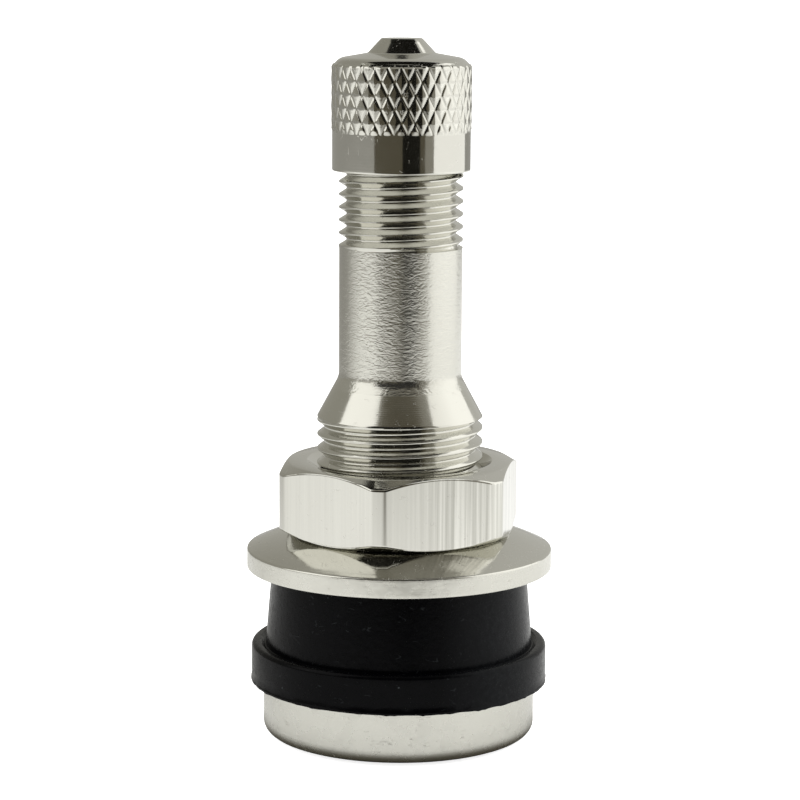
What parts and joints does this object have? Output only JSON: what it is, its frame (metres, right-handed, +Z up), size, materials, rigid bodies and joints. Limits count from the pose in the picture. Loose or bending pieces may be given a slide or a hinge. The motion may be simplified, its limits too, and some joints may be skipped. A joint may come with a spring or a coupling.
{
  "type": "tyre valve",
  "caption": "Clamp-in metal tyre valve: plated stem with a wide foot, rubber grommet, conical washer, hexagon nut, knurled screw cap and a sprung air core.",
  "frame": {"origin": "on the stem's axis, at the foot's underside", "axes": "+Z up along the stem towards the cap; -Y faces the picture's camera"},
  "size_m": [0.0192, 0.0192, 0.0437],
  "materials": {
    "plated_stem": "bright nickel plate on turned brass",
    "plated_washer": "bright nickel plate, satin rim",
    "plated_nut": "bright nickel plate with faint drawing lines",
    "plated_cap": "bright nickel plate, knurled",
    "black_rubber": "moulded, satin",
    "seal_rubber": "moulded, matt",
    "core_brass": "turned, bare",
    "spring_steel": "drawn wire",
    "seal_plastic": "moulded fluoropolymer"
  },
  "bodies": {
    "stem": {"valve_stem": "plated_stem", "rubber_grommet": "black_rubber", "core_plug": "core_brass", "core_barrel": "core_brass", "barrel_seal": "seal_plastic", "core_spring": "spring_steel"},
    "washer": {"clamp_washer": "plated_washer"},
    "nut": {"clamp_nut": "plated_nut"},
    "seal": {"cap_seal": "seal_rubber"},
    "cap": {"cap_shell": "plated_cap"},
    "pin": {"core_pin": "core_brass", "spring_seat": "core_brass", "seat_washer": "seal_rubber", "seat_cup": "core_brass"}
  },
  "joints": [
    {"name": "nut_lift", "type": "slide", "parent": "stem", "child": "washer", "axis": [0, 0, 1], "range_m": [0, 0.00725]},
    {"name": "nut_turn", "type": "hinge", "parent": "washer", "child": "nut", "pos_m": [0, 0, 0.0153], "axis": [0, 0, 1], "range_deg": [0, 2880]},
    {"name": "cap_lift", "type": "slide", "parent": "stem", "child": "seal", "axis": [0, 0, 1], "range_m": [0, 0.00476]},
    {"name": "cap_turn", "type": "hinge", "parent": "seal", "child": "cap", "pos_m": [0, 0, 0.0388], "axis": [0, 0, 1], "range_deg": [0, 2160]},
    {"name": "pin_press", "type": "slide", "parent": "stem", "child": "pin", "axis": [0, 0, -1], "range_m": [0, 0.0014], "stiffness_N_per_m": 1200, "springref_m": -0.0025, "deforming": ["core_spring"]}
  ],
  "couplings": [
    {"joint": "nut_turn", "follows": "nut_lift", "rad_per_m": 6926.4},
    {"joint": "cap_turn", "follows": "cap_lift", "rad_per_m": 7915.8}
  ]
}
